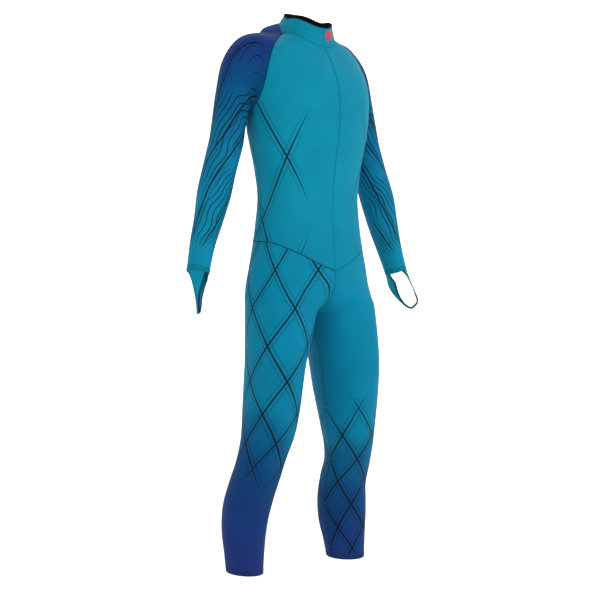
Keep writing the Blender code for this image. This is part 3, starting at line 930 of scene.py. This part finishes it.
def paper():
    """The studio's paper, with the faintest tooth."""
    shader = Shader("studio_paper", roughness=0.92)
    tooth = shader.noise(90.0, 2.0)
    return shader.finish(linear(PAPER), shader.bump(tooth, 0.0005, 0.1))


# From grids to pieces


def turned(faces, points, facing, sample=0):
    """The faces, all reversed if the sample among them looks away from the given direction."""
    a, b, c, d = (points[corner] for corner in faces[sample])
    if np.dot(np.cross(c - a, d - b), facing) < 0:
        return [tuple(reversed(face)) for face in faces]
    return faces


def placed(name, data):
    """A new object, in the scene."""
    made = bpy.data.objects.new(name, data)
    bpy.context.scene.collection.objects.link(made)
    return made


def cells(rows, columns, start=0):
    """The quads between a grid's points, whose numbers begin at start."""
    quads = []
    for row in range(rows - 1):
        for column in range(columns - 1):
            a = start + row * columns + column
            quads.append((a, a + 1, a + columns + 1, a + columns))
    return quads


def made_piece(name, points, faces, places, materials, slots, attributes=()):
    """A mesh on the body, with its places on the cloth as a UV map and its points' attributes."""
    mesh = bpy.data.meshes.new(name)
    mesh.from_pydata((points - (0, 0, SHOULDER_HEIGHT)).tolist(), [], faces)
    for material in materials:
        mesh.materials.append(material)
    mesh.polygons.foreach_set("material_index", slots)
    corners = np.empty(len(mesh.loops), dtype=int)
    mesh.loops.foreach_get("vertex_index", corners)
    layer = mesh.uv_layers.new(name="cloth")
    layer.data.foreach_set("uv", places[corners].ravel())
    for label, values in attributes:
        made = mesh.attributes.new(label, "FLOAT_VECTOR", "POINT")
        made.data.foreach_set("vector", values.ravel())
    mesh.shade_smooth()
    mesh.update()
    piece = placed(name, mesh)
    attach(piece, "root")
    return piece


def two_faced(outer, inner, facing):
    """A sheet between two grids: its points, and the faces of its outside, inside and rim."""
    rows, columns = outer.shape[:2]
    count = rows * columns
    points = np.concatenate([outer.reshape(-1, 3), inner.reshape(-1, 3)])
    front = turned(cells(rows, columns), points, facing)
    back = turned(cells(rows, columns, count), points, -facing)
    numbers = np.arange(count).reshape(rows, columns)
    sides = (numbers[0], numbers[1:, -1], numbers[-1, -2::-1], numbers[-2:0:-1, 0])
    rim = np.concatenate(sides).tolist()
    nexts = rim[1:] + rim[:1]
    edge = [(after, here, here + count, after + count) for here, after in zip(rim, nexts)]
    return points, front, back, turned(edge, points, points[0] - points[columns])


def for_both(values):
    """A grid's values, as a list for the points of both its faces."""
    return np.concatenate([values.reshape(-1, values.shape[2])] * 2)


def cloth_places(grid):
    return np.stack([lengths(grid, 1), lengths(grid, 0)], axis=2)


def shell(name, grid, normals, prints, materials, hand):
    """A sheet of cloth with its printed outer face, its inner face and its cut edge."""
    flip = np.array([hand, 1, 1])
    inner = grid - normals * CLOTH
    points, front, back, edge = two_faced(grid * flip, inner * flip, normals[0, 0] * flip)
    slots = [0] * len(front) + [1] * (len(back) + len(edge))
    attributes = []
    for label, parts in zip(PRINTS, prints):
        attributes.append((label, for_both(np.stack([*parts], axis=2))))
    places = for_both(cloth_places(grid))
    return made_piece(name, points, front + back + edge, places, materials, slots, attributes)


def edge_lines(values, edge, span):
    """A grid's lines that leave one edge inwards, for the edge's points in a span."""
    turned_grid = {
        "top": values,
        "bottom": values[::-1],
        "first": values.swapaxes(0, 1),
        "last": values.swapaxes(0, 1)[::-1],
    }[edge]
    return turned_grid[:EDGE_REACH, span].swapaxes(0, 1)


def band(grid, normals, edge, span, profile):
    """A strip that lies along a sheet's edge: profile gives distances inwards and heights."""
    lines = edge_lines(grid, edge, span)
    facing = edge_lines(normals, edge, span)
    walked = lengths(lines, 1)
    strip = np.empty((len(profile), len(lines), 3))
    for level, (inwards, height) in enumerate(profile):
        for number, (line, face, walk) in enumerate(zip(lines, facing, walked)):
            place = [np.interp(inwards, walk, line[:, axis]) for axis in range(3)]
            normal = np.array([np.interp(inwards, walk, face[:, axis]) for axis in range(3)])
            beyond = min(inwards, 0.0) * (line[1] - line[0]) / walk[1]
            strip[level, number] = place + beyond + normal * height
    return strip


def seam_profile(width):
    return [
        (0.0, SEAM_RISE * 0.55),
        (width * 0.15, SEAM_RISE),
        (width * 0.60, SEAM_RISE),
        (width * 0.90, SEAM_RISE * 0.5),
        (width, -TUCK),
    ]


def hem_profile(width, rise):
    """Round the cloth's edge from inside it, along its face and back down to it."""
    return [
        (width * 0.9, -CLOTH + TUCK),
        (width * 0.8, -CLOTH - rise),
        (rise, -CLOTH - rise),
        (-rise * 0.7, -CLOTH * 0.8),
        (-rise * 0.7, -CLOTH * 0.2),
        (rise, rise),
        (width * 0.9, rise),
        (width * 0.97, rise * 0.6),
        (width, -TUCK),
    ]


def bands(name, grid, normals, plan, materials, hand):
    """All the seams and hems that belong to one sheet, as one piece."""
    flip = np.array([hand, 1, 1])
    all_points, all_places, all_faces, slots = [], [], [], []
    start = 0
    for edge, span, profile, slot in plan:
        strip = band(grid, normals, edge, span, profile)
        levels, count = strip.shape[:2]
        points = strip.reshape(-1, 3) * flip
        upper = levels // 2 if levels > 6 else 1
        facing = edge_lines(normals, edge, span)[0, 0] * flip
        faces = turned(cells(levels, count), points, facing, upper * (count - 1))
        inwards = np.array(profile)[:, :1] + np.zeros(count)
        all_points.append(points)
        all_places.append(np.stack([inwards, lengths(strip, 1)], axis=2).reshape(-1, 2))
        all_faces += [tuple(corner + start for corner in face) for face in faces]
        slots += [slot] * len(faces)
        start += len(points)
    points, places = np.concatenate(all_points), np.concatenate(all_places)
    return made_piece(name, points, all_faces, places, materials, slots)


def patch_piece(grid, material):
    """The patch as a low domed pad with a raised lip."""
    normals = face_normals(grid)
    steps = np.linspace(-1, 1, CELLS_PATCH + 1)
    reach = np.maximum(np.abs(steps)[:, None], np.abs(steps)[None, :])
    lip = np.exp(-(((reach - 0.80) / 0.09) ** 2))
    height = PATCH_DOME * (1 - reach**8) + PATCH_LIP * lip + PATCH_STAND
    outer = grid + normals * height[:, :, None]
    points, front, back, edge = two_faced(outer, grid - normals * TUCK, normals[0, 0])
    faces = front + back + edge
    places = for_both(cloth_places(grid))
    return made_piece("neck_patch", points, faces, places, [material], [0] * len(faces))


# The suit


def suit():
    body_print, sleeve_print = (BODY_STOPS, BODY_TILT), (SLEEVE_STOPS, 0.0)
    body = printed_cloth("body_cloth", *body_print)
    arm = printed_cloth("sleeve_cloth", *sleeve_print)
    inside = lining()
    body_thread = thread("body_thread", *body_print, *BODY_THREAD)
    arm_thread = thread("sleeve_thread", *sleeve_print, *SLEEVE_THREAD)
    dark_thread = thread("dark_thread", *body_print, *DARK_THREAD)
    # For each kind of piece: its cloth's outer and inner face, its thread and its colour slot.
    trunk_look = (body, inside, body_thread, "teal_cloth")
    looks = dict.fromkeys(("back", "front", "collar", "leg"), trunk_look)
    looks["sleeve"] = (arm, inside, arm_thread, "navy_cloth")
    looks["hand_loop"] = (arm, arm, arm_thread, "teal_cloth")

    seam, fine, cord = map(seam_profile, (SEAM_WIDTH, FINE_WIDTH, CORD_WIDTH))
    hem = hem_profile(HEM_WIDTH, HEM_RISE)
    binding = hem_profile(BINDING_WIDTH, BINDING_RISE)
    rim = hem_profile(FINE_WIDTH, RIM_RISE)
    tonal, dark = 0, 1
    whole, side, raglan = slice(None), slice(0, ROWS_SIDE + 1), slice(ROWS_SIDE, None)

    def along(edges, profile, slot=tonal, span=whole):
        """The same seam or hem along some edges of a sheet."""
        return [(edge, span, profile, slot) for edge in edges.split()]

    front_plan = along("first", fine) + along("last", seam, tonal, side)
    front_plan += along("last", cord, dark, raglan) + along("top bottom", fine)
    back_plan = along("first last", seam, tonal, side) + along("first last", cord, dark, raglan)
    back_plan += along("top bottom", fine)
    tube_plan = along("first last", seam) + along("bottom", hem)
    # The waist seam is dark along the wearer's right half alone.
    waists = {"left": along("top", fine), "right": along("top", cord, dark)}
    sleeve_plan = along("top", cord, dark) + tube_plan
    loop_plan = along("first", binding, dark) + along("last", binding) + along("top bottom", seam)
    collar_plan = along("top", fine) + along("bottom", rim, dark) + along("first last", fine)

    front = draped(trunk_grid(0.0, 1), "front")
    half_back = draped(trunk_grid(180.0, 2)[:, ::-1], "back")
    back = map(both_halves, half_back)
    half_prints = [*flank_lines(half_back[0]), [yoke(half_back[0])] * 3]
    back_prints = [map(mirrored, parts) for parts in half_prints]
    leg = draped(leg_grid(), "leg", -1)
    sleeve = draped(sleeve_grid(), "sleeve", -1)
    loop = loop_grid()
    half_collar = collar_grid()
    collar = map(both_halves, (half_collar, face_normals(half_collar)))

    sheets = [("back", 1, *back, back_prints, back_plan), ("collar", 1, *collar, (), collar_plan)]
    for name, hand in (("left", 1), ("right", -1)):
        legs = leg_lines(leg[0], *LEG_PRINTS[name])
        sheets += [
            (f"front_{name}", hand, *front, flank_lines(front[0]), front_plan),
            (f"leg_{name}", hand, *leg, legs, waists[name] + tube_plan),
            (f"sleeve_{name}", hand, *sleeve, sleeve_lines(sleeve[0]), sleeve_plan),
            (f"hand_loop_{name}", hand, loop, -face_normals(loop), (), loop_plan),
        ]
    for node, hand, grid, normals, prints, plan in sheets:
        kind = node.replace("_left", "").replace("_right", "")
        outside, lined, sewing, slot = looks[kind]
        piece = shell(f"{node}_cloth", grid, normals, prints, [outside, lined], hand)
        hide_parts(node)
        seams = bands(f"{node}_seams", grid, normals, plan, [sewing, dark_thread], hand)

    patch = patch_piece(patch_grid(), rubber())
    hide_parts("collar_patch")


# Studio and camera


def area_light(name, place, aim, size, power):
    data = bpy.data.lights.new(name, "AREA")
    data.shape = "RECTANGLE"
    data.size, data.size_y = size
    data.energy = power
    light = placed(name, data)
    light.location = place
    light.rotation_euler = (Vector(aim) - Vector(place)).to_track_quat("-Z", "Y").to_euler()


def studio():
    profile = [(PAPER_NEAR, 0.0)]
    for step in range(BEND_STEPS + 1):
        angle = math.radians(90 * step / BEND_STEPS)
        rise = PAPER_BEND * (1 - math.cos(angle))
        profile.append((PAPER_FAR - PAPER_BEND * (1 - math.sin(angle)), rise))
    profile.append((PAPER_FAR, PAPER_TOP))
    sides = (-PAPER_HALF_WIDTH, PAPER_HALF_WIDTH)
    points = [(aside, *place) for place in profile for aside in sides]
    mesh = bpy.data.meshes.new("floor")
    mesh.from_pydata(points, [], cells(len(profile), len(sides)))
    mesh.materials.append(paper())
    mesh.shade_smooth()
    floor = placed("floor", mesh)
    floor.location = (0.0, 0.0, -SHOULDER_HEIGHT)
    floor.rotation_euler = (0.0, 0.0, math.radians(-CAMERA_TURN))
    world = bpy.data.worlds.new("studio")
    world.use_nodes = True
    background = world.node_tree.nodes["Background"]
    background.inputs["Color"].default_value = (1.0, 1.0, 1.0, 1.0)
    background.inputs["Strength"].default_value = WORLD_LIGHT
    bpy.context.scene.world = world
    area_light("key", (1.6, -3.6, 1.6), (0.0, 0.0, -0.6), (2.6, 2.6), KEY_POWER)
    area_light("fill", (-3.6, -1.0, 0.6), (0.0, 0.0, -0.7), (2.4, 2.8), FILL_POWER)
    area_light("backdrop", (1.6, 1.9, 2.4), (2.8, 3.3, -0.6), (4.0, 1.5), BACKDROP_POWER)


def camera():
    data = bpy.data.cameras.new("camera")
    data.sensor_width = 36.0
    data.lens = FOCAL_LENGTH * data.sensor_width / PHOTO_WIDTH
    data.shift_x = SHIFT_ACROSS / PHOTO_WIDTH
    data.shift_y = SHIFT_UP / PHOTO_WIDTH
    view = placed("camera", data)
    view.location = CAMERA_PLACE
    view.rotation_euler = (math.radians(90), 0.0, math.radians(-CAMERA_TURN))
    bpy.context.scene.camera = view
    bpy.context.scene.view_settings.view_transform = "Standard"


camera()
studio()
suit()
